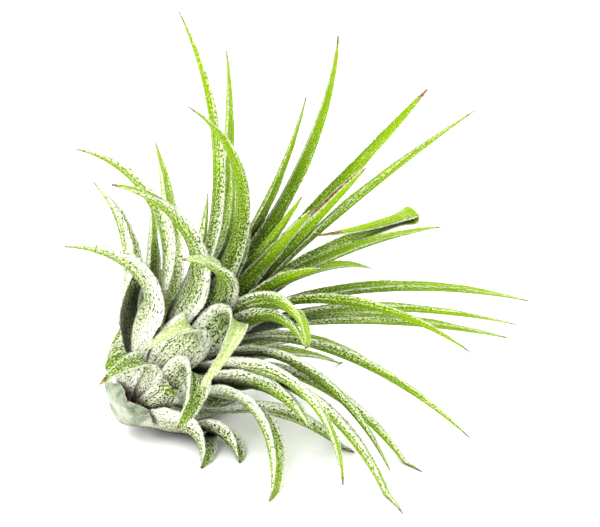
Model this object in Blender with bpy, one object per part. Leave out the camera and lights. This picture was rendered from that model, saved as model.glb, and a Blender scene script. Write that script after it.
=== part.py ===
"""Air plant: a rosette of narrow leaves on a short stem, lying on its side.

The stem and every leaf are separate closed solids.  Lengths below are in millimetres and angles in
degrees; meshes are written in metres with +Z up.  A leaf is described in the stem's own frame:
`rise` along the stem, `out` away from it and `turn` round it.
"""
import math

import bpy
import numpy as np

MM = 0.001

# The stem's direction: it climbs from the resting bulb towards +X and a little away (+Y).
STEM_HEADING = 22.6
STEM_PITCH = 43.5
STEM_ROLL = -31.0
STEM_ORIGIN = (-27.82, -3.18, 16.5)

STEM_SHAPE = ((-19.5, 2.2), (-18.0, 3.5), (-12.0, 3.6), (-4.0, 3.0), (4.0, 2.2), (10.0, 1.5), (15.5, 0.9),
              (16.5, 0.5))
STEM_SIDES = 12
ROOT_GAP = 0.35

# How a leaf's broad base is shaped, from the lowest leaf (rank 0) to the heart (rank 60).
RANKS = (-3, 0, 12, 30, 46, 64)
ROOT_RISE = (-21.3, -18.0, -12.0, -1.0, 7.0, 15.0)
ROOT_LEAN = (86.0, 84.0, 72.0, 40.0, 22.0, 3.0)
SHEATH_LENGTH = (9.0, 12.0, 18.0, 15.0, 12.0, 8.0)
SHEATH_WIDTH = (20.0, 11.0, 11.0, 9.0, 5.4, 3.0)

# Leaf profile from root to tip: places 0 to 1 run along the sheath, 1 to 2 along the blade.
PLACES = (0.0, 0.35, 1.0, 1.25, 1.6, 2.0)
THICKNESS = (0.62, 0.64, 0.7, 0.95, 0.9, 0.3)
CUP_PLACES = (1.0, 1.3, 1.7, 2.0)
CUP_ANGLE = (40.0, 85.0, 95.0, 60.0)
WIDTH_PLACES = (0.0, 0.4, 0.95, 1.15, 1.45, 1.75, 1.92, 2.0)
MOST_WRAP = 60.0
FOLD_SPREAD = 0.06
FOLD_FLATTENING = 0.8
SHEATH_STATIONS = 5
BLADE_STATIONS = 10
SHARP_EDGE = 50.0

# Leaf colours by zone, and the ranks where the next zone starts.
ZONE_LIMITS = (7, 30, 52)
ZONE_COLOURS = (
    ("sheath_silver", (0.58, 0.60, 0.50)),
    ("outer_leaf_grey_green", (0.40, 0.50, 0.20)),
    ("middle_leaf_green", (0.26, 0.46, 0.05)),
    ("heart_leaf_green", (0.16, 0.34, 0.03)),
)
LEAF_ROUGHNESS = 0.6
STEM_COLOUR = (0.20, 0.14, 0.08)
STEM_ROUGHNESS = 0.9

# Each leaf, lowest first: rank, turn, neck lean, tip lean, bend power, sideways swing, blade length,
# blade width, sheath width (0 where the rank gives it).
LEAVES = {
    "base_leaf_01": (-3, 84, 60, 50, 1.4, 0, 6, 9, 17),
    "base_leaf_02": (0.5, 144.8, 52, 138, 0.6, -15, 13.5, 6.6, 18),
    "base_leaf_03": (0.3, 11, 25, 6, 1, 0, 5, 6, 8.4),
    "base_leaf_04": (2, -50, 35, 30, 1, 0, 6, 6, 0),
    "base_leaf_05": (2.6, 105, 26, 34, 0.6, 0, 2, 8, 7),
    "base_leaf_06": (2.5, 59.5, 30, 175, 0.4, 0, 7, 8, 8),
    "base_leaf_07": (4, 260, 55, 80, 1, 0, 14, 4.5, 0),
    "base_leaf_08": (5.2, 152, 56, 112, 0.8, -12, 13, 9, 9),
    "base_leaf_09": (4.05, 75, 25, 165, 0.35, -28, 15, 5, 9),
    "base_leaf_10": (6, 218, 40, 43, 1, 0, 8, 4.5, 0),
    "outer_leaf_01": (6.3, 105.5, 0, 160, 0.35, 34, 19, 9.8, 8),
    "outer_leaf_02": (11, -17, 37.6, 85, 1.3, 0, 32, 8.7, 15),
    "outer_leaf_03": (12, 290, 40, 70, 0.8, 0, 6, 4.5, 0),
    "outer_leaf_04": (12.6, 167.5, 44, 90, 0.8, 0, 29, 8, 0),
    "outer_leaf_05": (13.5, 22, 12.5, 129, 0.4, -30, 24.3, 8, 18),
    "outer_leaf_06": (14, 84, 0, 162, 0.4, -30, 19, 4.4, 12),
    "outer_leaf_07": (17, 250, 45, 78, 0.8, 0, 40, 4, 0),
    "outer_leaf_08": (18, 325, 47, 45, 0.8, 0, 27, 5.5, 0),
    "outer_leaf_09": (18.3, 141, 61, 142, 0.6, 0, 33, 8.1, 9.6),
    "outer_leaf_10": (19.5, 142, 49, 98, 0.7, 0, 24, 8, 12),
    "outer_leaf_11": (22.6, 132.5, 50.4, 121, 0.8, 0, 49.5, 5.5, 0),
    "outer_leaf_12": (23, 5, 28, 118, 1, 0, 40, 8.5, 13),
    "outer_leaf_13": (23, 228, 45, 76, 0.8, 0, 34, 4, 0),
    "outer_leaf_14": (25, -45.5, 53.2, 65.8, 0.8, -4, 50, 8, 0),
    "outer_leaf_15": (25.5, 151, 56, 117.5, 0.7, 0, 55.5, 6.5, 0),
    "outer_leaf_16": (25.7, 104.8, 0, 158, 0.35, 0, 30.5, 4.6, 10),
    "outer_leaf_17": (26, 40, 8, 112, 0.5, 0, 39, 8, 11),
    "outer_leaf_18": (28, 163.5, 51.5, 105, 0.7, 0, 48, 6.6, 0),
    "outer_leaf_19": (28, 275, 35, 80, 0.8, 0, 26, 4, 0),
    "middle_leaf_01": (30, 222, 45, 80, 0.9, 0, 37, 4, 0),
    "middle_leaf_02": (31, 154, 46, 108, 0.5, 0, 44, 5.4, 0),
    "middle_leaf_03": (31, 75, 5, 119, 0.5, -40, 21, 8, 9),
    "middle_leaf_04": (31.5, -14, 25, 33, 1, 0, 20.5, 4.4, 0),
    "middle_leaf_05": (34, 130, 17, 103, 0.5, 0, 23, 6, 6.5),
    "middle_leaf_06": (36, 23, 22.6, 67, 0.8, 0, 62, 6, 0),
    "middle_leaf_07": (37, 172, 40.5, 88.8, 0.5, 0, 53, 6.2, 0),
    "middle_leaf_08": (38.5, 118.5, 20.5, 111, 0.5, 0, 34, 7, 0),
    "middle_leaf_09": (39, -37, 34, 52, 0.9, 0, 61, 5.7, 0),
    "middle_leaf_10": (40, 256, 42, 78, 0.9, 0, 51, 4.6, 0),
    "middle_leaf_11": (40.5, 200, 39, 60, 0.6, 0, 61, 6.9, 0),
    "middle_leaf_12": (41.3, 338, 20, 48, 1, 0, 28, 4.6, 0),
    "middle_leaf_13": (42, 52, 18, 97, 0.8, 0, 55, 6, 0),
    "middle_leaf_14": (43.7, 187, 34, 59, 0.7, 0, 59, 6, 0),
    "middle_leaf_15": (44, 330.5, 9.2, 28.5, 1, 0, 47, 4.1, 0),
    "middle_leaf_16": (44.5, 246, 26, 66, 0.6, 0, 101, 5.2, 0),
    "middle_leaf_17": (47, 206.5, 31.5, 61.5, 0.7, 0, 69, 6.4, 0),
    "middle_leaf_18": (47.5, 309, 8.1, 48, 1, 0, 70, 5, 0),
    "middle_leaf_19": (49, 158, 30, 82, 0.7, 0, 51, 5.8, 0),
    "middle_leaf_20": (50.3, 235.9, 28, 73, 1, 0, 39, 4.8, 0),
    "heart_leaf_01": (52, 42, 15, 75, 1, 0, 20, 4, 0),
    "heart_leaf_02": (53, 138, 20, 42, 1, 0, 17, 4.8, 0),
    "heart_leaf_03": (53.5, 215, 20, 44, 1, 0, 49, 5, 0),
    "heart_leaf_04": (54, 262.9, 10, 0, 1, 0, 62, 5.4, 0),
    "heart_leaf_05": (56, 92, 12, 6, 1, 0, 22, 4, 0),
    "heart_leaf_06": (57, 352, 15, 35, 1, 0, 13, 4, 0),
    "heart_leaf_07": (58, 189, 5, 12, 1, 0, 64, 6.5, 0),
    "heart_leaf_08": (60, 52, 8, 4, 1, 0, 22, 3.8, 0),
    "heart_leaf_09": (62, 127, 8, -2, 1, 0, 36, 3.8, 0),
    "heart_leaf_10": (64, 240, 4, 4, 1, 0, 35, 3.6, 0),
}

# Leaves that double back on themselves: where along the blade, and through what angle.
FOLDS = {
    "middle_leaf_16": (0.59, -184),
}


def stem_axes():
    """Unit vectors along the stem, and the two directions that turn angles are measured from."""
    heading, pitch, roll = np.radians([STEM_HEADING, STEM_PITCH, STEM_ROLL])
    along = np.array([math.cos(pitch) * math.cos(heading),
                      math.cos(pitch) * math.sin(heading),
                      math.sin(pitch)])
    level = np.array([math.sin(heading), -math.cos(heading), 0.0])
    upper = np.cross(level, along)
    first = math.cos(roll) * upper + math.sin(roll) * level
    second = np.cross(along, first)
    return along, first, second


def stem_radius(rise):
    """Radius of the stem at a height along it."""
    return np.interp(rise, [row[0] for row in STEM_SHAPE], [row[1] for row in STEM_SHAPE])


def leaf_places(fold):
    """Stations from root (0) through the end of the sheath (1) to the tip (2)."""
    sheath = np.linspace(0.0, 1.0, SHEATH_STATIONS + 1)
    blade = 1.0 + np.linspace(0.0, 1.0, BLADE_STATIONS + 1)[1:]
    if fold:
        near_fold = 1.0 + fold[0] + FOLD_SPREAD * np.array([-0.5, -0.17, 0.17, 0.5])
        blade = blade[np.abs(blade - 1.0 - fold[0]) > FOLD_SPREAD]
        blade = np.sort(np.concatenate([blade, near_fold, [2.0]]))
        blade = np.unique(blade)
    return np.concatenate([sheath, blade])


def leaf_line(row, fold=None, fine=12):
    """Centre line of a leaf: places, points, and unit vectors along it, across it and to its inner side."""
    rank, turn, neck, tip, power, swing, length, width, sheath_width = row
    root_rise = np.interp(rank, RANKS, ROOT_RISE)
    root_lean = np.interp(rank, RANKS, ROOT_LEAN)
    sheath = np.interp(rank, RANKS, SHEATH_LENGTH)
    along, first, second = stem_axes()
    radial = math.cos(math.radians(turn)) * first + math.sin(math.radians(turn)) * second
    side = np.cross(along, radial)

    places = leaf_places(fold)
    fine_places = np.interp(np.arange((len(places) - 1) * fine + 1) / fine, np.arange(len(places)), places)
    on_sheath = np.clip(fine_places, 0.0, 1.0)
    on_blade = np.clip(fine_places - 1.0, 0.0, 1.0)
    lean = np.radians(root_lean + (neck - root_lean) * on_sheath ** 0.8 + (tip - neck) * on_blade ** power)
    if fold:
        lean = lean + np.radians(fold[1]) * np.clip((on_blade - fold[0]) / FOLD_SPREAD + 0.5, 0.0, 1.0)
    drift = np.radians(swing * on_blade)
    outward = np.cos(drift)[:, None] * radial + np.sin(drift)[:, None] * side
    direction = np.cos(lean)[:, None] * along + np.sin(lean)[:, None] * outward
    travel = on_sheath * sheath + on_blade * length
    root_out = stem_radius(root_rise) + ROOT_GAP + THICKNESS[0] * math.cos(lean[0])
    start = along * root_rise + radial * root_out
    steps = np.diff(travel)[:, None] * (direction[1:] + direction[:-1]) / 2.0
    points = start + np.concatenate([np.zeros((1, 3)), np.cumsum(steps, axis=0)])

    inner = np.sin(lean)[:, None] * along - np.cos(lean)[:, None] * outward
    points, direction, inner = points[::fine], direction[::fine], inner[::fine]
    across = np.cross(direction, inner)
    return places, points, direction, across, inner


def leaf_mesh(row, fold=None):
    """Vertices and faces of one leaf: a thin channelled blade with sharp edges and a fine tip."""
    rank, turn, neck, tip, power, swing, length, width, sheath_width = row
    places, points, direction, across, inner = leaf_line(row, fold)
    sheath_width = sheath_width or np.interp(rank, RANKS, SHEATH_WIDTH)
    neck_width = 0.65 * sheath_width + 0.35 * width
    blade_width = 0.2 * sheath_width + 0.85 * width
    widths = (0.36 * sheath_width, 0.75 * sheath_width, sheath_width, neck_width, blade_width,
              0.64 * width, 0.29 * width, 0.08 * width)
    half_width = np.interp(places, WIDTH_PLACES, widths) / 2.0
    along = stem_axes()[0]
    from_stem = np.linalg.norm(points - np.outer(points @ along, along), axis=1)
    wrap = np.minimum(half_width / from_stem, math.radians(MOST_WRAP))
    blend = np.clip((places - 0.8) / 0.4, 0.0, 1.0)
    blade_cup = np.radians(np.interp(places, CUP_PLACES, CUP_ANGLE))
    if fold:
        near_fold = np.exp(-((places - 1.0 - fold[0]) / FOLD_SPREAD) ** 2)
        blade_cup = blade_cup * (1.0 - FOLD_FLATTENING * near_fold)
    cup = wrap * (1.0 - blend) + blade_cup * blend
    thickness = np.minimum(np.interp(places, PLACES, THICKNESS), 0.7 * half_width / cup)
    origin = np.array(STEM_ORIGIN)
    across_share = (-1.0, -0.45, 0.45, 1.0, 0.45, -0.45)
    depth_share = (0.0, 0.0, 0.0, 0.0, 1.0, 1.0)
    vertices = []
    for index in range(len(places)):
        bend_radius = half_width[index] / cup[index]
        for share, depth in zip(across_share, depth_share):
            angle = cup[index] * share
            inward = bend_radius * (1.0 - math.cos(angle)) + depth * thickness[index]
            offset = bend_radius * math.sin(angle) * across[index] + inward * inner[index]
            vertices.append(origin + points[index] + offset)
    sides = len(across_share)
    rings = np.array(vertices).reshape(len(places), sides, 3)
    rings[:, :, 2] += np.maximum(0.0, -rings[:, :, 2].min(axis=1))[:, None]
    vertices = rings.reshape(-1, 3)
    faces = []
    for index in range(len(places) - 1):
        for side in range(sides):
            here = index * sides + side
            there = index * sides + (side + 1) % sides
            faces.append((here, there + sides, there))
            faces.append((here, here + sides, there + sides))
    last = (len(places) - 1) * sides
    for side in range(1, sides - 1):
        faces.append((0, side, side + 1))
        faces.append((last, last + side + 1, last + side))
    return vertices, faces


def stem_mesh():
    """Vertices and faces of the stem: a tapered round core that the leaves stand round."""
    along, first, second = stem_axes()
    vertices = []
    for rise, radius in STEM_SHAPE:
        for side in range(STEM_SIDES):
            angle = 2.0 * math.pi * side / STEM_SIDES
            outward = math.cos(angle) * first + math.sin(angle) * second
            vertices.append(np.array(STEM_ORIGIN) + rise * along + radius * outward)
    faces = []
    for index in range(len(STEM_SHAPE) - 1):
        for side in range(STEM_SIDES):
            here = index * STEM_SIDES + side
            there = index * STEM_SIDES + (side + 1) % STEM_SIDES
            faces.append((here, there, there + STEM_SIDES, here + STEM_SIDES))
    faces.append(tuple(reversed(range(STEM_SIDES))))
    faces.append(tuple(range(len(vertices) - STEM_SIDES, len(vertices))))
    return np.array(vertices), faces


def clear_scene():
    """Removes everything that the startup scene holds."""
    for item in list(bpy.data.objects):
        bpy.data.objects.remove(item, do_unlink=True)


def make_material(name, colour, roughness):
    """A plain non-metallic material."""
    material = bpy.data.materials.new(name)
    material.use_nodes = True
    material.diffuse_color = (*colour, 1.0)
    shader = material.node_tree.nodes["Principled BSDF"]
    shader.inputs["Base Color"].default_value = (*colour, 1.0)
    shader.inputs["Roughness"].default_value = roughness
    shader.inputs["Metallic"].default_value = 0.0
    return material


def make_object(name, vertices, faces, material):
    """A smooth-shaded mesh object from millimetre vertices, with its sharp edges kept sharp."""
    mesh = bpy.data.meshes.new(name)
    mesh.from_pydata([tuple(float(value) * MM for value in vertex) for vertex in vertices], [], faces)
    mesh.materials.append(material)
    mesh.shade_smooth()
    mesh.set_sharp_from_angle(angle=math.radians(SHARP_EDGE))
    made = bpy.data.objects.new(name, mesh)
    bpy.context.scene.collection.objects.link(made)
    return made


def leaf_material(rank, materials):
    """The material of a leaf's zone: silver sheaths, grey-green outer, green middle or dark heart leaves."""
    zone = sum(rank >= limit for limit in ZONE_LIMITS)
    return materials[zone]


def build():
    """Makes the stem and every leaf."""
    clear_scene()
    stem_brown = make_material("stem_brown", STEM_COLOUR, STEM_ROUGHNESS)
    leaf_materials = [make_material(name, colour, LEAF_ROUGHNESS) for name, colour in ZONE_COLOURS]
    make_object("stem", *stem_mesh(), stem_brown)
    for name, row in LEAVES.items():
        make_object(name, *leaf_mesh(row, FOLDS.get(name)), leaf_material(row[0], leaf_materials))


if __name__ == "__main__":
    build()
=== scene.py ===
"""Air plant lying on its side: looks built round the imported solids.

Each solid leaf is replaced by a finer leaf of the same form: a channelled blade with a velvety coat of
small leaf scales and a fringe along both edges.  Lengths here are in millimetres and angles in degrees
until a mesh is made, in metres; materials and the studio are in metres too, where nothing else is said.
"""
import math

import bpy
import mathutils
import numpy as np
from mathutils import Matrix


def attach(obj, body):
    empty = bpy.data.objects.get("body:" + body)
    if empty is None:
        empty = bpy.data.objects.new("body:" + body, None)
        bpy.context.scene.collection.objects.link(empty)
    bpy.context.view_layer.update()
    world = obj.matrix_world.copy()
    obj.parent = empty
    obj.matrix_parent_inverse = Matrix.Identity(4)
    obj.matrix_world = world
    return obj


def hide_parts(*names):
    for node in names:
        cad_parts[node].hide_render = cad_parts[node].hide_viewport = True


MM = 0.001

# The stem's direction: it climbs from the resting bulb towards +X and a little away (+Y).
STEM_HEADING = 22.6
STEM_PITCH = 43.5
STEM_ROLL = -31.0
STEM_ORIGIN = (-27.82, -3.18, 16.5)

# The stem's outline, as pairs of a height along it and a radius, and the gap between it and leaf roots.
STEM_SHAPE = ((-19.5, 2.2), (-18.0, 3.5), (-12.0, 3.6), (-4.0, 3.0), (4.0, 2.2), (10.0, 1.5), (15.5, 0.9),
              (16.5, 0.5))
ROOT_GAP = 0.35

# How a leaf's broad base is shaped, from the lowest leaf (rank -3) to the last of the heart (rank 64).
RANKS = (-3, 0, 12, 30, 46, 64)
ROOT_RISE = (-21.3, -18.0, -12.0, -1.0, 7.0, 15.0)
ROOT_LEAN = (86.0, 84.0, 72.0, 40.0, 22.0, 3.0)
SHEATH_LENGTH = (9.0, 12.0, 18.0, 15.0, 12.0, 8.0)
SHEATH_WIDTH = (20.0, 11.0, 11.0, 9.0, 5.4, 3.0)

# Leaf profile from root to tip: places 0 to 1 run along the sheath, 1 to 2 along the blade.  The lean
# builds up along the sheath by a power.
PLACES = (0.0, 0.35, 1.0, 1.25, 1.6, 2.0)
THICKNESS = (0.62, 0.64, 0.7, 0.95, 0.9, 0.3)
CUP_PLACES = (1.0, 1.3, 1.7, 2.0)
CUP_ANGLE = (40.0, 85.0, 95.0, 60.0)
SHEATH_POWER = 0.8

# A sheath wraps the stem by no more than this angle to each side.  It opens into the channelled blade
# from this place on, over this length.
MOST_WRAP = 60.0
OPENING_START = 0.8
OPENING_LENGTH = 0.4

# The most thickness, as a share of the cup's radius, and how far along the blade a fold spreads and how
# much it flattens the cup.
MOST_THICKNESS = 0.7
FOLD_SPREAD = 0.06
FOLD_FLATTENING = 0.8

# A leaf's width along it: at each place a share of its sheath's width and a share of its blade's.
WIDTH_PLACES = (0.0, 0.4, 0.95, 1.15, 1.45, 1.75, 1.92, 2.0)
SHEATH_SHARES = (0.36, 0.75, 1.0, 0.65, 0.20, 0.0, 0.0, 0.0)
BLADE_SHARES = (0.0, 0.0, 0.0, 0.35, 0.85, 0.64, 0.29, 0.08)

# Each leaf, lowest first: rank, turn, neck lean, tip lean, bend power, sideways swing, blade length,
# blade width, sheath width (0 where the rank gives it).
LEAVES = {
    "base_leaf_01": (-3, 84, 60, 50, 1.4, 0, 6, 9, 17),
    "base_leaf_02": (0.5, 144.8, 52, 138, 0.6, -15, 13.5, 6.6, 18),
    "base_leaf_03": (0.3, 11, 25, 6, 1, 0, 5, 6, 8.4),
    "base_leaf_04": (2, -50, 35, 30, 1, 0, 6, 6, 0),
    "base_leaf_05": (2.6, 105, 26, 34, 0.6, 0, 2, 8, 7),
    "base_leaf_06": (2.5, 59.5, 30, 175, 0.4, 0, 7, 8, 8),
    "base_leaf_07": (4, 260, 55, 80, 1, 0, 14, 4.5, 0),
    "base_leaf_08": (5.2, 152, 56, 112, 0.8, -12, 13, 9, 9),
    "base_leaf_09": (4.05, 75, 25, 165, 0.35, -28, 15, 5, 9),
    "base_leaf_10": (6, 218, 40, 43, 1, 0, 8, 4.5, 0),
    "outer_leaf_01": (6.3, 105.5, 0, 160, 0.35, 34, 19, 9.8, 8),
    "outer_leaf_02": (11, -17, 37.6, 85, 1.3, 0, 32, 8.7, 15),
    "outer_leaf_03": (12, 290, 40, 70, 0.8, 0, 6, 4.5, 0),
    "outer_leaf_04": (12.6, 167.5, 44, 90, 0.8, 0, 29, 8, 0),
    "outer_leaf_05": (13.5, 22, 12.5, 129, 0.4, -30, 24.3, 8, 18),
    "outer_leaf_06": (14, 84, 0, 162, 0.4, -30, 19, 4.4, 12),
    "outer_leaf_07": (17, 250, 45, 78, 0.8, 0, 40, 4, 0),
    "outer_leaf_08": (18, 325, 47, 45, 0.8, 0, 27, 5.5, 0),
    "outer_leaf_09": (18.3, 141, 61, 142, 0.6, 0, 33, 8.1, 9.6),
    "outer_leaf_10": (19.5, 142, 49, 98, 0.7, 0, 24, 8, 12),
    "outer_leaf_11": (22.6, 132.5, 50.4, 121, 0.8, 0, 49.5, 5.5, 0),
    "outer_leaf_12": (23, 5, 28, 118, 1, 0, 40, 8.5, 13),
    "outer_leaf_13": (23, 228, 45, 76, 0.8, 0, 34, 4, 0),
    "outer_leaf_14": (25, -45.5, 53.2, 65.8, 0.8, -4, 50, 8, 0),
    "outer_leaf_15": (25.5, 151, 56, 117.5, 0.7, 0, 55.5, 6.5, 0),
    "outer_leaf_16": (25.7, 104.8, 0, 158, 0.35, 0, 30.5, 4.6, 10),
    "outer_leaf_17": (26, 40, 8, 112, 0.5, 0, 39, 8, 11),
    "outer_leaf_18": (28, 163.5, 51.5, 105, 0.7, 0, 48, 6.6, 0),
    "outer_leaf_19": (28, 275, 35, 80, 0.8, 0, 26, 4, 0),
    "middle_leaf_01": (30, 222, 45, 80, 0.9, 0, 37, 4, 0),
    "middle_leaf_02": (31, 154, 46, 108, 0.5, 0, 44, 5.4, 0),
    "middle_leaf_03": (31, 75, 5, 119, 0.5, -40, 21, 8, 9),
    "middle_leaf_04": (31.5, -14, 25, 33, 1, 0, 20.5, 4.4, 0),
    "middle_leaf_05": (34, 130, 17, 103, 0.5, 0, 23, 6, 6.5),
    "middle_leaf_06": (36, 23, 22.6, 67, 0.8, 0, 62, 6, 0),
    "middle_leaf_07": (37, 172, 40.5, 88.8, 0.5, 0, 53, 6.2, 0),
    "middle_leaf_08": (38.5, 118.5, 20.5, 111, 0.5, 0, 34, 7, 0),
    "middle_leaf_09": (39, -37, 34, 52, 0.9, 0, 61, 5.7, 0),
    "middle_leaf_10": (40, 256, 42, 78, 0.9, 0, 51, 4.6, 0),
    "middle_leaf_11": (40.5, 200, 39, 60, 0.6, 0, 61, 6.9, 0),
    "middle_leaf_12": (41.3, 338, 20, 48, 1, 0, 28, 4.6, 0),
    "middle_leaf_13": (42, 52, 18, 97, 0.8, 0, 55, 6, 0),
    "middle_leaf_14": (43.7, 187, 34, 59, 0.7, 0, 59, 6, 0),
    "middle_leaf_15": (44, 330.5, 9.2, 28.5, 1, 0, 47, 4.1, 0),
    "middle_leaf_16": (44.5, 246, 26, 66, 0.6, 0, 101, 5.2, 0),
    "middle_leaf_17": (47, 206.5, 31.5, 61.5, 0.7, 0, 69, 6.4, 0),
    "middle_leaf_18": (47.5, 309, 8.1, 48, 1, 0, 70, 5, 0),
    "middle_leaf_19": (49, 158, 30, 82, 0.7, 0, 51, 5.8, 0),
    "middle_leaf_20": (50.3, 235.9, 28, 73, 1, 0, 39, 4.8, 0),
    "heart_leaf_01": (52, 42, 15, 75, 1, 0, 20, 4, 0),
    "heart_leaf_02": (53, 138, 20, 42, 1, 0, 17, 4.8, 0),
    "heart_leaf_03": (53.5, 215, 20, 44, 1, 0, 49, 5, 0),
    "heart_leaf_04": (54, 262.9, 10, 0, 1, 0, 62, 5.4, 0),
    "heart_leaf_05": (56, 92, 12, 6, 1, 0, 22, 4, 0),
    "heart_leaf_06": (57, 352, 15, 35, 1, 0, 13, 4, 0),
    "heart_leaf_07": (58, 189, 5, 12, 1, 0, 64, 6.5, 0),
    "heart_leaf_08": (60, 52, 8, 4, 1, 0, 22, 3.8, 0),
    "heart_leaf_09": (62, 127, 8, -2, 1, 0, 36, 3.8, 0),
    "heart_leaf_10": (64, 240, 4, 4, 1, 0, 35, 3.6, 0),
}

# Leaves that double back on themselves: where along the blade, and through what angle.
FOLDS = {
    "middle_leaf_16": (0.59, -184),
}

# Finer leaf meshes: stations along the sheath, the blade and a fold, how close to a fold the blade's own
# stations come, spans across one face, and the angle from which an edge is sharp.
SHEATH_STATIONS = 12
BLADE_STATIONS = 40
FOLD_STATIONS = 9
FOLD_MARGIN = 0.55
FACE_SPANS = 12
SHARP_ANGLE = 60.0

# A leaf's edges are this thick, or this share of its thickness if that is less, and it fills out between
# them by these two powers.
EDGE_THICKNESS = 0.12
EDGE_SHARE = 0.3
FULLNESS = (3, 0.8)

# The margins ripple by the product of two waves, in full where half the leaf is this wide.
RIPPLE = 0.10
RIPPLE_WAVES = (21.0, 8.3)
RIPPLE_FULL_WIDTH = 2.0

# Patterns are laid on the flattened leaf: how far apart its two faces lie in them, and the leaves at most.
FACE_SHIFT = 200.0
LEAF_SHIFT = 500.0

# Colour along a leaf, as shares from 0 to 1, by rank: how vivid its green is, and how silver its coat is.
# The green darkens towards each root, to nearly black at the heart's roots: in part the leaf's deeper
# green, in part painted shade deep in the rosette.
VIVID_PLACES = (0.0, 0.8, 1.2, 1.6, 2.0)
VIVID_BY_RANK = {
    5: (0.10, 0.15, 0.25, 0.38, 0.55),
    16: (0.10, 0.22, 0.40, 0.70, 0.90),
    34: (0.05, 0.20, 0.46, 0.76, 0.90),
    44: (0.00, 0.06, 0.26, 0.72, 0.94),
}
SILVER_PLACES = (0.0, 0.9, 1.15, 1.4, 1.7, 2.0)
SILVER_BY_RANK = {
    -3: (0.30, 0.30, 0.30, 0.25, 0.20, 0.20),
    0: (1.00, 0.98, 0.86, 0.66, 0.50, 0.38),
    8: (1.00, 0.98, 0.86, 0.66, 0.50, 0.38),
    31: (1.00, 0.96, 0.74, 0.50, 0.36, 0.26),
    42: (0.30, 0.55, 0.48, 0.36, 0.28, 0.22),
    50: (0.03, 0.10, 0.26, 0.28, 0.25, 0.20),
}

# The coat is thinner down the middle of a face, and thicker towards its edges.
MIDDLE_PLACES = (0.2, 0.9, 1.3, 2.0)
MIDDLE_BARE = (0.0, 0.50, 0.48, 0.25)
MIDDLE_RANKS = (5, 25)
MIDDLE_BY_RANK = (0.75, 1.0)
EDGE_START = 0.62
EDGE_BREADTH = 0.33
EDGE_RANKS = (25, 42)
EDGE_SILVER = (0.50, 0.15)

# The inner face of a sheath, which lies against the next leaf, is painted darker green and less silver, as
# painted shade deep inside the sheath, in full from this rank up.
SHEATHED_END = 1.15
SHEATHED_BLUR = 0.3
SHEATHED_RANK = 30.0
SHEATHED_SHADE_SILVER_LOSS = 0.65
SHEATHED_SHADE_VIVID_LOSS = 0.8

# Leaves with a pale inner face, the leaf whose skin is worn smooth, and how much of each blade is dry.
PALE_LEAVES = ("middle_leaf_03", "outer_leaf_06", "outer_leaf_16")
PALE_START = 1.1
PALE_BLUR = 0.3
PALE_SILVER = 0.5
SMOOTH_LEAF = "base_leaf_01"
DRY_TIP = 0.045
DRY_BLUR = 0.35
DRY_SILVER_LOSS = 0.6
DRY_LEAVES = {"heart_leaf_10": 0.55, "middle_leaf_16": 0.09, "middle_leaf_18": 0.05, "heart_leaf_04": 0.05,
              "base_leaf_09": 0.14, "base_leaf_02": 0.06}

# Leaf scales: how many stand on a square millimetre where the coat is full, how many fewer where it is
# thin or hidden inside a sheath, and their lengths.  Widths and lifts are shares of the length.
SCALES_PER_MM2 = 11.0
SCALES_THINNING = 0.65
HIDDEN_END = 0.8
HIDDEN_SHARE = 0.15
SCALE_LENGTH = (0.20, 0.42)
SCALE_WIDTH = 0.50
SCALE_WIDTH_SPREAD = (0.7, 1.3)
SCALE_LIFT = (0.05, 0.42)
SCALE_SPIN = 1.1
SEED = 11

# One scale is a kite: how far its middle lies along it and up it, how deep its foot is sunk, and the faces
# between its foot, its two sides and its tip.
KITE_MIDDLE = 0.45
KITE_MIDDLE_LIFT = 0.55
KITE_FOOT = 0.06
KITE_FACES = ((0, 2, 1), (1, 2, 3), (0, 1, 3), (0, 3, 2))

# Scales of the fringe; tilt and sweep are a mean and a spread, against one part outwards.
FRINGE_START = SHEATH_STATIONS // 3
FRINGE_SPACING = 0.10
FRINGE_LENGTH = (0.22, 0.48)
FRINGE_WIDTH = 0.45
FRINGE_LIFT = 0.1
FRINGE_FOOT = 0.05
FRINGE_TILT = (0.25, 0.5)
FRINGE_SWEEP = (0.7, 0.5)

# Colours, as linear shares of red, green and blue.
# The darkest green, nearly black, is in part painted shade deep in the rosette.
GREENS = ((0.0, (0.004, 0.014, 0.000, 1.0)), (0.35, (0.070, 0.146, 0.000, 1.0)),
          (0.65, (0.185, 0.350, 0.000, 1.0)), (1.0, (0.330, 0.500, 0.000, 1.0)))
PALE_GREEN = (0.56, 0.68, 0.24, 1.0)
DRY_COLOURS = ((0.3, (0.070, 0.020, 0.024, 1.0)), (0.5, (0.200, 0.080, 0.040, 1.0)),
               (0.7, (0.520, 0.340, 0.170, 1.0)))
GROOVE_COLOUR = (0.016, 0.040, 0.002, 1.0)
GAP_OLIVE = (0.024, 0.036, 0.000, 1.0)
COAT_OLIVE = (0.350, 0.450, 0.080, 1.0)
COAT_LIME = (0.370, 0.570, 0.000, 1.0)
COAT_SILVER = (0.940, 0.950, 0.780, 1.0)
# The olive near black of the painted shade deep between leaves.
CREVICE_SHADE_OLIVE = (0.016, 0.020, 0.001, 1.0)
SMOOTH_GREYS = ((0.35, (0.13, 0.18, 0.11, 1.0)), (0.62, (0.46, 0.48, 0.38, 1.0)))
MARGIN_WHITE = (0.84, 0.86, 0.66, 1.0)
SCALE_WHITES = ((0.3, (0.62, 0.66, 0.46, 1.0)), (0.7, (0.90, 0.90, 0.82, 1.0)))
STEM_BROWNS = ((0.3, (0.050, 0.028, 0.014, 1.0)), (0.7, (0.200, 0.120, 0.060, 1.0)))

# Slow changes over a leaf, per metre, how strongly they shift its green and its dry edge, and how much of
# its colour shows through its scales where it is green and where it is silver.
PATCH_SCALE = 110.0
PATCH_STRENGTH = 0.36
MOTTLE_SCALE = 900.0
DRY_MOTTLE = 0.5
DRY_SHARPNESS = 2.0
SMOOTH_PATCH_SCALE = 260.0
SPECKLE_SCALE = 1400.0
SCALE_THROUGH = (0.45, 0.20)

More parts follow.
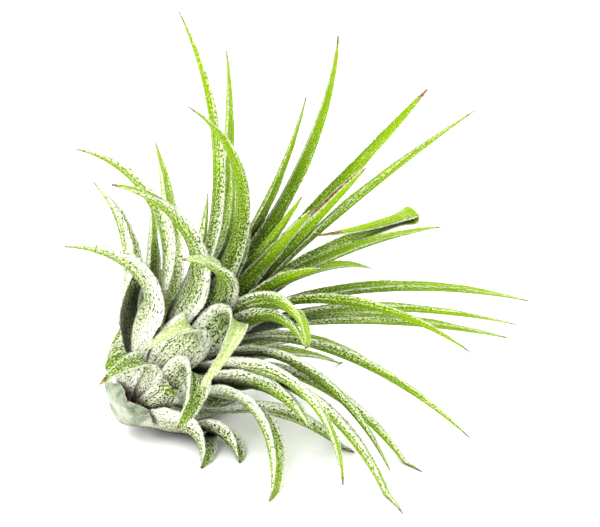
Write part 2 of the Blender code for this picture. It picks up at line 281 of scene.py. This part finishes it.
# Streaks and grain of the coat, per millimetre on the flattened leaf.  The grains' radii are shares of
# their spacing, from green places to silver ones.
STREAK_STRETCH = (0.06, 1.0, 1.0)
STREAK_SCALE = 1.5
STREAK_STRENGTH = 1.80
GRAIN_STRETCH = (0.5, 1.0, 1.0)
GRAIN_SCALE = 3.3
GRAIN_RADII = (0.16, 0.70)
GRAIN_SHARPNESS = 9.0

# How olive the gaps between grains are, how the coat turns silver, how much it varies and covers, and how
# sharp and how broken the white margins are.
GAP_SHARE = 0.85
COAT_GAIN = 1.25
COAT_START = -0.20
COAT_MOTTLE = 0.8
COAT_COVER = 0.9
MARGIN_SHARPNESS = 14.0
MARGIN_BREAKS = 5.0

# Grooves along a leaf: how many lie across it, how much they wander, how narrow and how deep they are,
# and how much they thin the coat.
GROOVES = 7.0
GROOVE_WOBBLE = 1.6
GROOVE_NARROWNESS = 3.0
GROOVE_DEPTH = 0.8
GROOVE_THINNING = 0.10

# Relief and sheen of the skin.
RIDGE_HEIGHT = 0.4
COAT_HEIGHT = 0.6
BUMP_STRENGTH = 0.6
BUMP_DISTANCE = 0.0003
SKIN_ROUGHNESS = (0.46, 0.68)

# Painted shade deep between leaves: how deep it is looked for, and from what open share it darkens.
CREVICE_DEPTH = 0.005
CREVICE_GAIN = 2.0
CREVICE_START = 0.66
CREVICE_SAMPLES = 8

# Fibres of the stem, per metre.
FIBRE_SCALE = 1800.0
FIBRE_STRETCH = (1.0, 1.0, 0.18)
FIBRE_BUMP_STRENGTH = 0.8
FIBRE_BUMP_DISTANCE = 0.0004

# What stays the same all over each material.
SKIN_FINISH = {"Subsurface Weight": 0.15, "Subsurface Radius": (0.8, 1.0, 0.3), "Subsurface Scale": 0.0012,
               "Specular IOR Level": 0.05}
SMOOTH_FINISH = {"Roughness": 0.6, "Specular IOR Level": 0.05}
SCALE_FINISH = {"Roughness": 0.55, "Specular IOR Level": 0.05}
STEM_FINISH = {"Roughness": 0.8}
FLOOR_FINISH = {"Base Color": (0.93, 0.93, 0.93, 1.0), "Roughness": 0.22}

# Studio, in metres and watts: lamps are (name, place, size, power).  The camera's place is measured from
# the stem's origin, in millimetres; its lens and sensor are in millimetres too.
FLOOR_SIZE = 6.0
WORLD_COLOUR = (1.0, 1.0, 1.0, 1.0)
WORLD_STRENGTH = 1.95
LAMPS = (("key", (-0.35, -0.35, 0.75), 0.5, 5.0), ("rim", (0.45, 0.45, 0.55), 0.5, 2.0))
LAMP_TARGET = (0.0, 0.0, 0.04)
CAMERA_FROM_STEM = (26.45, -409.75, 187.06)
CAMERA_TILT = 68.0
CAMERA_LENS = 119.15
CAMERA_SENSOR = 36.0
CAMERA_CLIP = 0.01


def stem_axes():
    """Unit vectors along the stem, and the two directions that turn angles are measured from."""
    heading, pitch, roll = np.radians([STEM_HEADING, STEM_PITCH, STEM_ROLL])
    along = np.array([math.cos(pitch) * math.cos(heading),
                      math.cos(pitch) * math.sin(heading),
                      math.sin(pitch)])
    level = np.array([math.sin(heading), -math.cos(heading), 0.0])
    upper = np.cross(level, along)
    first = math.cos(roll) * upper + math.sin(roll) * level
    second = np.cross(along, first)
    return along, first, second


def stem_radius(rise):
    """Radius of the stem at a height along it."""
    return np.interp(rise, [row[0] for row in STEM_SHAPE], [row[1] for row in STEM_SHAPE])


def leaf_places(fold):
    """Stations from root (0) through the end of the sheath (1) to the tip (2), closer at a fold."""
    sheath = np.linspace(0.0, 1.0, SHEATH_STATIONS + 1)
    blade = 1.0 + np.linspace(0.0, 1.0, BLADE_STATIONS + 1)[1:]
    if fold:
        near_fold = 1.0 + fold[0] + FOLD_SPREAD * np.linspace(-0.5, 0.5, FOLD_STATIONS)
        blade = blade[np.abs(blade - 1.0 - fold[0]) > FOLD_MARGIN * FOLD_SPREAD]
        blade = np.unique(np.minimum(np.concatenate([blade, near_fold]), 2.0))
    return np.concatenate([sheath, blade])


def leaf_line(row, fold, fine=4):
    """Centre line of a leaf: places, points, and unit vectors along it, across it and to its inner side."""
    rank, turn, neck, tip, power, swing, length = row[:7]
    root_rise = np.interp(rank, RANKS, ROOT_RISE)
    root_lean = np.interp(rank, RANKS, ROOT_LEAN)
    sheath = np.interp(rank, RANKS, SHEATH_LENGTH)
    along, first, second = stem_axes()
    radial = math.cos(math.radians(turn)) * first + math.sin(math.radians(turn)) * second
    side = np.cross(along, radial)

    places = leaf_places(fold)
    fine_places = np.interp(np.arange((len(places) - 1) * fine + 1) / fine, np.arange(len(places)), places)
    on_sheath = np.clip(fine_places, 0.0, 1.0)
    on_blade = np.clip(fine_places - 1.0, 0.0, 1.0)
    lean = root_lean + (neck - root_lean) * on_sheath ** SHEATH_POWER + (tip - neck) * on_blade ** power
    lean = np.radians(lean)
    if fold:
        lean = lean + np.radians(fold[1]) * np.clip((on_blade - fold[0]) / FOLD_SPREAD + 0.5, 0.0, 1.0)
    drift = np.radians(swing * on_blade)
    outward = np.cos(drift)[:, None] * radial + np.sin(drift)[:, None] * side
    direction = np.cos(lean)[:, None] * along + np.sin(lean)[:, None] * outward
    travel = on_sheath * sheath + on_blade * length
    root_out = stem_radius(root_rise) + ROOT_GAP + THICKNESS[0] * math.cos(lean[0])
    start = along * root_rise + radial * root_out
    steps = np.diff(travel)[:, None] * (direction[1:] + direction[:-1]) / 2.0
    points = start + np.concatenate([np.zeros((1, 3)), np.cumsum(steps, axis=0)])

    inner = np.sin(lean)[:, None] * along - np.cos(lean)[:, None] * outward
    points, direction, inner = points[::fine], direction[::fine], inner[::fine]
    across = np.cross(direction, inner)
    return places, points, direction, across, inner


def leaf_sections(row, fold, places, points):
    """Half width, cup angle and thickness of a leaf at each of its stations."""
    width = row[7]
    sheath_width = row[8] or np.interp(row[0], RANKS, SHEATH_WIDTH)
    widths = sheath_width * np.array(SHEATH_SHARES) + width * np.array(BLADE_SHARES)
    half_width = np.interp(places, WIDTH_PLACES, widths) / 2.0
    along = stem_axes()[0]
    from_stem = np.linalg.norm(points - np.outer(points @ along, along), axis=1)
    wrap = np.minimum(half_width / from_stem, math.radians(MOST_WRAP))
    blend = np.clip((places - OPENING_START) / OPENING_LENGTH, 0.0, 1.0)
    blade_cup = np.radians(np.interp(places, CUP_PLACES, CUP_ANGLE))
    if fold:
        near_fold = np.exp(-((places - 1.0 - fold[0]) / FOLD_SPREAD) ** 2)
        blade_cup = blade_cup * (1.0 - FOLD_FLATTENING * near_fold)
    cup = wrap * (1.0 - blend) + blade_cup * blend
    thickness = np.minimum(np.interp(places, PLACES, THICKNESS), MOST_THICKNESS * half_width / cup)
    return half_width, cup, thickness


class LeafSurface:
    """The outer (0) and inner (1) faces of one leaf as grids of points: station by share across."""

    def __init__(self, row, fold, random):
        self.places, points, self.direction, self.across, self.inner = leaf_line(row, fold)
        self.half_width, cup, thickness = leaf_sections(row, fold, self.places, points)
        self.shares = np.sin(np.linspace(-0.5, 0.5, FACE_SPANS + 1) * math.pi)
        depth = (1.0 - np.abs(self.shares) ** FULLNESS[0]) ** FULLNESS[1]
        angle = cup[:, None] * self.shares
        bend_radius = (self.half_width / cup)[:, None]
        sideways = bend_radius * np.sin(angle)
        inward = bend_radius * (1.0 - np.cos(angle))
        edge = np.minimum(EDGE_THICKNESS, EDGE_SHARE * thickness)[:, None]
        phase = random.uniform(0.0, 2.0 * math.pi, 2)
        waves = np.sin(np.outer(RIPPLE_WAVES, self.places) + phase[:, None])
        ripple = RIPPLE * waves[0] * waves[1] * np.minimum(1.0, self.half_width / RIPPLE_FULL_WIDTH)
        inward = inward + np.outer(ripple, np.sign(self.shares) * self.shares ** 2)
        middle = points[:, None] + np.array(STEM_ORIGIN) + sideways[..., None] * self.across[:, None]
        rises = np.stack([inward, inward + edge + (thickness[:, None] - edge) * depth])
        self.grids = middle + rises[..., None] * self.inner[:, None]
        lowest = self.grids[..., 2].min(axis=(0, 2))
        self.grids[..., 2] += np.maximum(0.0, -lowest)[None, :, None]

    def lay(self, offset):
        """Place of every grid point on the flattened leaf, along it and across it, apart for each face."""
        middle = self.grids[0, :, FACE_SPANS // 2]
        travelled = np.concatenate([[0.0], np.cumsum(np.linalg.norm(np.diff(middle, axis=0), axis=1))])
        lay = np.empty(self.grids.shape)
        lay[..., 0] = travelled[None, :, None] + offset + np.array([0.0, FACE_SHIFT])[:, None, None]
        lay[..., 1] = self.half_width[None, :, None] * self.shares
        lay[..., 2] = offset
        return lay

    def normals(self, side):
        """Unit normals of one face's grid, pointing out of the leaf."""
        grid = self.grids[side]
        lengthways = np.gradient(grid, axis=0)
        crossways = np.gradient(grid, axis=1)
        normal = np.cross(lengthways, crossways) * (-1.0 if side else 1.0)
        return normal / np.maximum(np.linalg.norm(normal, axis=2, keepdims=True), 1e-9)


def by_rank_and_place(rank, place, rows, places):
    """Shares at places along a leaf of some rank, between the rows that are given for a few ranks."""
    row = [np.interp(rank, list(rows), column) for column in zip(*rows.values())]
    return np.interp(place, places, row)


def leaf_tones(name, rank, surface):
    """Shares from 0 to 1 at every grid point: vivid, silver and dry, and how pale the inner face is."""
    place = np.broadcast_to(surface.places[None, :, None], surface.grids.shape[:3])
    share = np.broadcast_to(surface.shares[None, None, :], place.shape)
    inner = np.broadcast_to(np.array([0.0, 1.0])[:, None, None], place.shape)
    vivid = by_rank_and_place(rank, place, VIVID_BY_RANK, VIVID_PLACES)
    silver = by_rank_and_place(rank, place, SILVER_BY_RANK, SILVER_PLACES)
    covered = np.clip((SHEATHED_END - place) / SHEATHED_BLUR, 0.0, 1.0)
    sheathed = inner * covered * min(1.0, rank / SHEATHED_RANK)
    # Painted shade on the inner face deep in a sheath: darker green and less silver.
    silver = silver * (1.0 - SHEATHED_SHADE_SILVER_LOSS * sheathed)
    vivid = vivid * (1.0 - SHEATHED_SHADE_VIVID_LOSS * sheathed)
    middle = (1.0 - share ** 2) * np.interp(place, MIDDLE_PLACES, MIDDLE_BARE)
    silver = silver * (1.0 - middle * np.interp(rank, MIDDLE_RANKS, MIDDLE_BY_RANK))
    edge = np.clip((np.abs(share) - EDGE_START) / EDGE_BREADTH, 0.0, 1.0)
    silver = np.clip(silver + np.interp(rank, EDGE_RANKS, EDGE_SILVER) * edge, 0.0, 1.0)
    dry_length = DRY_LEAVES.get(name, DRY_TIP)
    dry = np.clip((place - (2.0 - dry_length)) / (DRY_BLUR * dry_length) + 0.5, 0.0, 1.0)
    dry = np.maximum(dry, inner * (name == SMOOTH_LEAF))
    pale = inner * (name in PALE_LEAVES) * np.clip((place - PALE_START) / PALE_BLUR, 0.0, 1.0)
    silver = np.maximum(silver, PALE_SILVER * pale)
    return vivid, silver * (1.0 - DRY_SILVER_LOSS * dry), dry, pale


def grid_faces(stations, points_across):
    """Faces of the closed leaf whose two grids of points follow each other, all wound to look outwards."""
    index = np.arange(2 * stations * points_across).reshape(2, stations, points_across)
    outer, inner = index
    quads = [
        np.stack([outer[:-1, :-1], outer[1:, :-1], outer[1:, 1:], outer[:-1, 1:]], axis=-1),
        np.stack([inner[:-1, :-1], inner[:-1, 1:], inner[1:, 1:], inner[1:, :-1]], axis=-1),
        np.stack([outer[:-1, 0], inner[:-1, 0], inner[1:, 0], outer[1:, 0]], axis=-1),
        np.stack([outer[:-1, -1], outer[1:, -1], inner[1:, -1], inner[:-1, -1]], axis=-1),
        np.stack([outer[0, :-1], outer[0, 1:], inner[0, 1:], inner[0, :-1]], axis=-1),
        np.stack([outer[-1, :-1], inner[-1, :-1], inner[-1, 1:], outer[-1, 1:]], axis=-1),
    ]
    return np.concatenate([quad.reshape(-1, 4) for quad in quads])


def scale_vertices(root, heading, normal, length, width, lift):
    """Four corners of each leaf scale: a thin kite that stands on its root and rises to its tip."""
    side = np.cross(normal, heading)
    middle = root + KITE_MIDDLE * length[:, None] * heading + KITE_MIDDLE_LIFT * lift[:, None] * normal
    half = 0.5 * (width * length)[:, None] * side
    tip = root + length[:, None] * heading + lift[:, None] * normal
    foot = root - KITE_FOOT * normal
    return np.stack([foot, middle + half, middle - half, tip], axis=1)


def scatter_scales(surface, tones, random):
    """Leaf scales strewn over both faces, denser where the coat is silver: their corners and tones."""
    silver = tones[1]
    corners, colours = [], []
    for side in (0, 1):
        grid = surface.grids[side]
        normal = surface.normals(side)
        first = grid[1:, :-1] - grid[:-1, :-1]
        second = grid[:-1, 1:] - grid[:-1, :-1]
        area = np.linalg.norm(np.cross(first, second), axis=2)
        coat = silver[side][:-1, :-1]
        chance = area * SCALES_PER_MM2 * coat * (1.0 - SCALES_THINNING + SCALES_THINNING * coat)
        hidden = (surface.places[:-1, None] < HIDDEN_END) & (side == 1)
        chance = np.where(hidden, HIDDEN_SHARE * chance, chance)
        count = int(chance.sum())
        picks = random.choice(chance.size, count, p=(chance / chance.sum()).ravel())
        row, column = np.unravel_index(picks, chance.shape)
        u, v = random.random((2, count, 1))
        root = ((1 - u) * (1 - v) * grid[row, column] + u * (1 - v) * grid[row + 1, column]
                + (1 - u) * v * grid[row, column + 1] + u * v * grid[row + 1, column + 1])
        up = normal[row, column]
        spin = random.normal(0.0, SCALE_SPIN, (count, 1))
        ahead = surface.direction[row]
        ahead = ahead - np.sum(ahead * up, axis=1, keepdims=True) * up
        ahead = ahead / np.linalg.norm(ahead, axis=1, keepdims=True)
        heading = np.cos(spin) * ahead + np.sin(spin) * np.cross(up, ahead)
        length = random.uniform(*SCALE_LENGTH, count)
        width = SCALE_WIDTH * random.uniform(*SCALE_WIDTH_SPREAD, count)
        lift = random.uniform(*SCALE_LIFT, count) * length
        corners.append(scale_vertices(root, heading, up, length, width, lift))
        colours.append(np.stack([part[side][row, column] for part in tones], axis=1))
    return np.concatenate(corners), np.concatenate(colours)


def fringe_scales(surface, tones, random):
    """Leaf scales that stand out from both edges of a leaf: their corners and tones."""
    corners, colours = [], []
    for column, outward in ((0, -1.0), (-1, 1.0)):
        edge = surface.grids[:, :, column].mean(axis=0)
        steps = np.linalg.norm(np.diff(edge, axis=0), axis=1)
        travelled = np.concatenate([[0.0], np.cumsum(steps)])
        start = travelled[FRINGE_START]
        count = int((travelled[-1] - start) / FRINGE_SPACING)
        at = np.sort(random.uniform(start, travelled[-1], count))
        station = np.interp(at, travelled, np.arange(len(travelled)))
        row = np.minimum(station.astype(int), len(travelled) - 2)
        share = (station - row)[:, None]
        root = (1 - share) * edge[row] + share * edge[row + 1]
        sideways = outward * surface.across[row]
        up = surface.inner[row]
        tilt = random.normal(*FRINGE_TILT, (count, 1))
        sweep = random.normal(*FRINGE_SWEEP, (count, 1))
        heading = sideways + sweep * surface.direction[row] + tilt * up
        heading = heading / np.linalg.norm(heading, axis=1, keepdims=True)
        normal = up - np.sum(up * heading, axis=1, keepdims=True) * heading
        normal = normal / np.linalg.norm(normal, axis=1, keepdims=True)
        length = random.uniform(*FRINGE_LENGTH, count)
        width = FRINGE_WIDTH * random.uniform(*SCALE_WIDTH_SPREAD, count)
        foot = root - FRINGE_FOOT * heading
        corners.append(scale_vertices(foot, heading, normal, length, width, FRINGE_LIFT * length))
        colours.append(np.stack([part[0][row, column] for part in tones], axis=1))
    return np.concatenate(corners), np.concatenate(colours)


def skin_and_scales(name, skin, quads, scales):
    """Mesh of a smooth skin of quads with flat leaf scales on it, each of four corners."""
    first_corner = len(skin) + 4 * np.arange(len(scales))
    triangles = (first_corner[:, None, None] + np.array(KITE_FACES)).reshape(-1, 3)
    counts = (len(quads), len(triangles))
    mesh = bpy.data.meshes.new(name)
    mesh.vertices.add(len(skin) + 4 * len(scales))
    mesh.vertices.foreach_set("co", np.concatenate([skin, scales.reshape(-1, 3)]).ravel() * MM)
    mesh.loops.add(quads.size + triangles.size)
    mesh.loops.foreach_set("vertex_index", np.concatenate([quads.ravel(), triangles.ravel()]))
    mesh.polygons.add(sum(counts))
    starts = np.concatenate([4 * np.arange(len(quads)), quads.size + 3 * np.arange(len(triangles))])
    mesh.polygons.foreach_set("loop_start", starts)
    mesh.polygons.foreach_set("material_index", np.repeat((0, 1), counts))
    mesh.polygons.foreach_set("use_smooth", np.repeat((True, False), counts))
    mesh.update(calc_edges=True)
    mesh.set_sharp_from_angle(angle=math.radians(SHARP_ANGLE))
    return mesh


def store(mesh, name, kind, field, values):
    """Keep a value for each vertex under a name; vertices past the end of the values get zeros."""
    padded = np.zeros((len(mesh.vertices),) + values.shape[1:])
    padded[:len(values)] = values
    mesh.attributes.new(name, kind, "POINT").data.foreach_set(field, padded.ravel())


def make_leaf(name, row, fold, random, materials):
    """One finished leaf, with its coat of scales, as a single object."""
    surface = LeafSurface(row, fold, random)
    tones = leaf_tones(name, row[0], surface)
    quads = grid_faces(*surface.grids.shape[1:3])
    coat, coat_tones = scatter_scales(surface, tones, random)
    fringe, fringe_tones = fringe_scales(surface, tones, random)
    scales = np.concatenate([coat, fringe])
    scales[..., 2] = np.maximum(scales[..., 2], 0.0)
    mesh = skin_and_scales(name + "_detailed", surface.grids.reshape(-1, 3), quads, scales)

    skin_tones = np.stack([part.ravel() for part in tones], axis=1)
    scale_tones = np.repeat(np.concatenate([coat_tones, fringe_tones]), 4, axis=0)
    shares = np.broadcast_to(surface.shares, surface.grids.shape[:3])
    lay = surface.lay(random.uniform(0.0, LEAF_SHIFT))
    store(mesh, "tone", "FLOAT_COLOR", "color", np.concatenate([skin_tones, scale_tones]))
    store(mesh, "across", "FLOAT", "value", shares.ravel())
    store(mesh, "lay", "FLOAT_VECTOR", "vector", lay.reshape(-1, 3))
    for material in materials:
        mesh.materials.append(material)
    piece = bpy.data.objects.new(mesh.name, mesh)
    bpy.context.scene.collection.objects.link(piece)
    return piece


def add_node(tree, kind, inputs=None, **settings):
    """A shader node with its settings; each input is a value or another node's output."""
    node = tree.nodes.new("ShaderNode" + kind)
    for name, value in settings.items():
        setattr(node, name, value)
    for key, value in (inputs or {}).items():
        if isinstance(value, bpy.types.NodeSocket):
            tree.links.new(value, node.inputs[key])
        else:
            node.inputs[key].default_value = value
    return node


def calculate(tree, operation, *values, clamp=False):
    """Output of a math node."""
    return add_node(tree, "Math", dict(enumerate(values)), operation=operation, use_clamp=clamp).outputs[0]


def mix_colours(tree, share, first, second):
    """Output of a colour mix: first where the share is 0 and second where it is 1."""
    return add_node(tree, "Mix", {0: share, 6: first, 7: second}, data_type="RGBA").outputs[2]


def colour_ramp(tree, value, stops):
    """Output of a colour ramp over (place, colour) stops."""
    node = add_node(tree, "ValToRGB", {0: value})
    elements = node.color_ramp.elements
    while len(elements) < len(stops):
        elements.new(0.5)
    for element, (place, colour) in zip(elements, stops):
        element.position = place
        element.color = colour
    return node.outputs[0]


def noise(tree, coordinates, scale, detail=2.0):
    """Output of a noise texture, from 0 to 1."""
    return add_node(tree, "TexNoise", {"Vector": coordinates, "Scale": scale, "Detail": detail}).outputs[0]


def add_bump(tree, shader, height, strength, distance):
    """Relief of a shader from a height, by a strength and a distance in metres."""
    bump = add_node(tree, "Bump", {"Height": height, "Strength": strength, "Distance": distance})
    tree.links.new(bump.outputs[0], shader.inputs["Normal"])


def vary(tree, base, value, strength, clamp=False):
    """The base, lowered or raised by up to half the strength as a value goes from 0 to 1."""
    centred = calculate(tree, "SUBTRACT", value, 0.5)
    return calculate(tree, "MULTIPLY_ADD", centred, strength, base, clamp=clamp)


def sharpen(tree, value, sharpness):
    """A value from 0 to 1, made steeper round one half."""
    return calculate(tree, "MULTIPLY_ADD", value, sharpness, 0.5 - 0.5 * sharpness, clamp=True)


def blend_values(tree, share, ends):
    """A value that goes from the first end to the second as the share goes from 0 to 1."""
    return calculate(tree, "MULTIPLY_ADD", share, ends[1] - ends[0], ends[0])


def new_material(name, finish):
    """A named node material with its fixed finish: the material, its tree and its Principled shader."""
    material = bpy.data.materials.new(name)
    material.use_nodes = True
    shader = material.node_tree.nodes["Principled BSDF"]
    for key, value in finish.items():
        shader.inputs[key].default_value = value
    return material, material.node_tree, shader


def tone_outputs(tree):
    """The vivid, silver, dry and pale shares that the leaf meshes carry, by name."""
    tone = add_node(tree, "Attribute", attribute_name="tone")
    parts = add_node(tree, "SeparateColor", {0: tone.outputs["Color"]})
    return {"vivid": parts.outputs[0], "silver": parts.outputs[1], "dry": parts.outputs[2],
            "pale": tone.outputs["Alpha"]}


def bare_leaf(tree, tone, coordinates):
    """Colour of the leaf itself, without its coat, and the share of it that is dry."""
    patches = noise(tree, coordinates, PATCH_SCALE)
    vivid = vary(tree, tone["vivid"], patches, PATCH_STRENGTH, clamp=True)
    green = mix_colours(tree, tone["pale"], colour_ramp(tree, vivid, GREENS), PALE_GREEN)
    mottle = noise(tree, coordinates, MOTTLE_SCALE)
    dried = sharpen(tree, vary(tree, tone["dry"], mottle, DRY_MOTTLE), DRY_SHARPNESS)
    brown = colour_ramp(tree, mottle, DRY_COLOURS)
    return mix_colours(tree, dried, green, brown), dried


def drawn_out(tree, lay, stretch):
    """Coordinates on the flattened leaf that draw a pattern out along it."""
    return add_node(tree, "VectorMath", {0: lay, 1: stretch}, operation="MULTIPLY").outputs[0]


def painted_crevice_shade(tree, colour):
    """The colour, darkened deep between leaves by how shut in each point is: painted shade."""
    inputs = {"Distance": CREVICE_DEPTH}
    open_share = add_node(tree, "AmbientOcclusion", inputs, samples=CREVICE_SAMPLES).outputs["AO"]
    most = CREVICE_GAIN * CREVICE_START
    shut = calculate(tree, "MULTIPLY_ADD", open_share, -CREVICE_GAIN, most, clamp=True)
    return mix_colours(tree, shut, colour, CREVICE_SHADE_OLIVE)


def grooves(tree, tone, across, streaks):
    """Height of the ridges that run along a leaf, and the share that lies in the grooves between them."""
    wobble = calculate(tree, "MULTIPLY", streaks, GROOVE_WOBBLE)
    phase = calculate(tree, "MULTIPLY_ADD", across, GROOVES * math.pi, wobble)
    ridge = calculate(tree, "MULTIPLY_ADD", calculate(tree, "SINE", phase), 0.5, 0.5)
    groove = calculate(tree, "POWER", calculate(tree, "SUBTRACT", 1.0, ridge), GROOVE_NARROWNESS)
    depth = blend_values(tree, tone["pale"], (GROOVE_DEPTH, 0.0))
    return ridge, calculate(tree, "MULTIPLY", groove, depth)


def leaf_coat(tree, tone, cells, groove, streaks):
    """Colour of the coat, and its cover: grains that grow together where the leaf is silver."""
    streaked = calculate(tree, "MINIMUM", vary(tree, tone["silver"], streaks, STREAK_STRENGTH), 1.0)
    radius = blend_values(tree, streaked, GRAIN_RADII)
    radius = calculate(tree, "MULTIPLY_ADD", groove, -GROOVE_THINNING, radius)
    room = calculate(tree, "SUBTRACT", radius, cells.outputs["Distance"])
    cover = calculate(tree, "MULTIPLY_ADD", room, GRAIN_SHARPNESS, 0.5, clamp=True)
    silvered = calculate(tree, "MULTIPLY_ADD", tone["silver"], COAT_GAIN, COAT_START)
    silvered = vary(tree, silvered, cells.outputs["Color"], COAT_MOTTLE, clamp=True)
    thin_coat = mix_colours(tree, tone["vivid"], COAT_OLIVE, COAT_LIME)
    return mix_colours(tree, silvered, thin_coat, COAT_SILVER), cover


def white_margin(tree, across, cells, dried):
    """Share of a leaf's two margins that is white: a broken line, missing where the leaf is dry."""
    outermost = calculate(tree, "ABSOLUTE", across)
    edge = calculate(tree, "MULTIPLY_ADD", outermost, MARGIN_SHARPNESS, 1.0 - MARGIN_SHARPNESS, clamp=True)
    broken = sharpen(tree, cells.outputs["Color"], MARGIN_BREAKS)
    return calculate(tree, "MULTIPLY", edge, calculate(tree, "SUBTRACT", broken, dried, clamp=True))


def leaf_skin():
    """Skin of a leaf: green with darker grooves, under a silver coat that wears to a grain of dashes."""
    material, tree, shader = new_material("leaf_skin", SKIN_FINISH)
    coordinates = add_node(tree, "TexCoord").outputs["Object"]
    lay = add_node(tree, "Attribute", attribute_name="lay").outputs["Vector"]
    across = add_node(tree, "Attribute", attribute_name="across").outputs["Fac"]
    tone = tone_outputs(tree)
    streaks = noise(tree, drawn_out(tree, lay, STREAK_STRETCH), STREAK_SCALE)
    grain = {"Vector": drawn_out(tree, lay, GRAIN_STRETCH), "Scale": GRAIN_SCALE}
    cells = add_node(tree, "TexVoronoi", grain, voronoi_dimensions="2D")

    colour, dried = bare_leaf(tree, tone, coordinates)
    ridge, groove = grooves(tree, tone, across, streaks)
    colour = mix_colours(tree, calculate(tree, "MULTIPLY", groove, streaks), colour, GROOVE_COLOUR)
    gap = calculate(tree, "MULTIPLY", tone["silver"], GAP_SHARE)
    colour = mix_colours(tree, gap, colour, GAP_OLIVE)
    coat, cover = leaf_coat(tree, tone, cells, groove, streaks)
    colour = mix_colours(tree, calculate(tree, "MULTIPLY", cover, COAT_COVER), colour, coat)
    colour = mix_colours(tree, white_margin(tree, across, cells, dried), colour, MARGIN_WHITE)
    # Painted shade deep between leaves darkens the skin.
    tree.links.new(painted_crevice_shade(tree, colour), shader.inputs["Base Color"])

    tree.links.new(blend_values(tree, cover, SKIN_ROUGHNESS), shader.inputs["Roughness"])
    coat_height = calculate(tree, "MULTIPLY", cover, COAT_HEIGHT)
    height = calculate(tree, "MULTIPLY_ADD", ridge, RIDGE_HEIGHT, coat_height)
    add_bump(tree, shader, height, BUMP_STRENGTH, BUMP_DISTANCE)
    return material


def smooth_sheath():
    """Skin of the lowest sheath, which is worn smooth and lined with brown."""
    material, tree, shader = new_material("smooth_sheath", SMOOTH_FINISH)
    coordinates = add_node(tree, "TexCoord").outputs["Object"]
    colour, dried = bare_leaf(tree, tone_outputs(tree), coordinates)
    grey = colour_ramp(tree, noise(tree, coordinates, SMOOTH_PATCH_SCALE, detail=6.0), SMOOTH_GREYS)
    tree.links.new(mix_colours(tree, dried, grey, colour), shader.inputs["Base Color"])
    return material


def leaf_scale():
    """The leaf scales: thin and white, letting a little of the leaf's colour through."""
    material, tree, shader = new_material("leaf_scale", SCALE_FINISH)
    coordinates = add_node(tree, "TexCoord").outputs["Object"]
    tone = tone_outputs(tree)
    colour = bare_leaf(tree, tone, coordinates)[0]
    white = colour_ramp(tree, noise(tree, coordinates, SPECKLE_SCALE), SCALE_WHITES)
    through = blend_values(tree, tone["silver"], SCALE_THROUGH)
    colour = mix_colours(tree, through, white, colour)
    # Painted shade deep between leaves darkens the scales.
    tree.links.new(painted_crevice_shade(tree, colour), shader.inputs["Base Color"])
    return material


def stem_bark():
    """The short stem: brown and fibrous along its length."""
    material, tree, shader = new_material("stem_bark", STEM_FINISH)
    coordinates = add_node(tree, "TexCoord").outputs["Object"]
    heading = (0.0, math.radians(90.0 - STEM_PITCH), math.radians(STEM_HEADING))
    along_stem = {"Vector": coordinates, "Rotation": heading, "Scale": FIBRE_STRETCH}
    turned = add_node(tree, "Mapping", along_stem, vector_type="TEXTURE").outputs[0]
    fibres = noise(tree, turned, FIBRE_SCALE, detail=4.0)
    tree.links.new(colour_ramp(tree, fibres, STEM_BROWNS), shader.inputs["Base Color"])
    add_bump(tree, shader, fibres, FIBRE_BUMP_STRENGTH, FIBRE_BUMP_DISTANCE)
    return material


def make_floor():
    """Plain white, slightly glossy floor."""
    half = FLOOR_SIZE / 2.0
    corners = [(-half, -half, 0.0), (half, -half, 0.0), (half, half, 0.0), (-half, half, 0.0)]
    mesh = bpy.data.meshes.new("floor")
    mesh.from_pydata(corners, [], [(0, 1, 2, 3)])
    mesh.materials.append(new_material("floor_white", FLOOR_FINISH)[0])
    floor = bpy.data.objects.new("floor", mesh)
    bpy.context.scene.collection.objects.link(floor)


def aim(thing, place, target):
    """Put a lamp at a place, facing a target."""
    thing.location = place
    sight = mathutils.Vector(target) - mathutils.Vector(place)
    thing.rotation_euler = sight.to_track_quat("-Z", "Y").to_euler()


def make_lights():
    """Bright white surroundings and large soft lamps."""
    world = bpy.data.worlds.new("white_room")
    world.use_nodes = True
    background = world.node_tree.nodes["Background"]
    background.inputs["Color"].default_value = WORLD_COLOUR
    background.inputs["Strength"].default_value = WORLD_STRENGTH
    bpy.context.scene.world = world
    for name, place, size, power in LAMPS:
        lamp = bpy.data.lights.new(name, "AREA")
        lamp.size = size
        lamp.energy = power
        thing = bpy.data.objects.new(name, lamp)
        bpy.context.scene.collection.objects.link(thing)
        aim(thing, place, LAMP_TARGET)


def make_camera():
    """Camera at the front, looking slightly down."""
    camera = bpy.data.cameras.new("camera")
    camera.lens = CAMERA_LENS
    camera.sensor_width = CAMERA_SENSOR
    camera.clip_start = CAMERA_CLIP
    thing = bpy.data.objects.new("camera", camera)
    bpy.context.scene.collection.objects.link(thing)
    thing.location = (np.array(STEM_ORIGIN) + CAMERA_FROM_STEM) * MM
    thing.rotation_euler = (math.radians(CAMERA_TILT), 0.0, 0.0)
    bpy.context.scene.camera = thing


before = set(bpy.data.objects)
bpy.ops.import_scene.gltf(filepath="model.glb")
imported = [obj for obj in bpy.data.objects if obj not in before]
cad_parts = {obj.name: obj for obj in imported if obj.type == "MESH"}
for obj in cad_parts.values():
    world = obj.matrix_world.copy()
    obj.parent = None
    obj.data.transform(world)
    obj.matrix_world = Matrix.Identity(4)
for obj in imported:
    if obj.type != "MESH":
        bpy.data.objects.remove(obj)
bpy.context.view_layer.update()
random = np.random.default_rng(SEED)
skin, smooth_skin, scales = leaf_skin(), smooth_sheath(), leaf_scale()
for name, row in LEAVES.items():
    finish = (smooth_skin if name == SMOOTH_LEAF else skin, scales)
    leaf = make_leaf(name, row, FOLDS.get(name), random, finish)
    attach(leaf, "root")
    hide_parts(name)
bpy.data.objects["stem"].material_slots[0].material = stem_bark()
make_floor()
make_lights()
make_camera()
bpy.context.scene.view_settings.view_transform = "Standard"
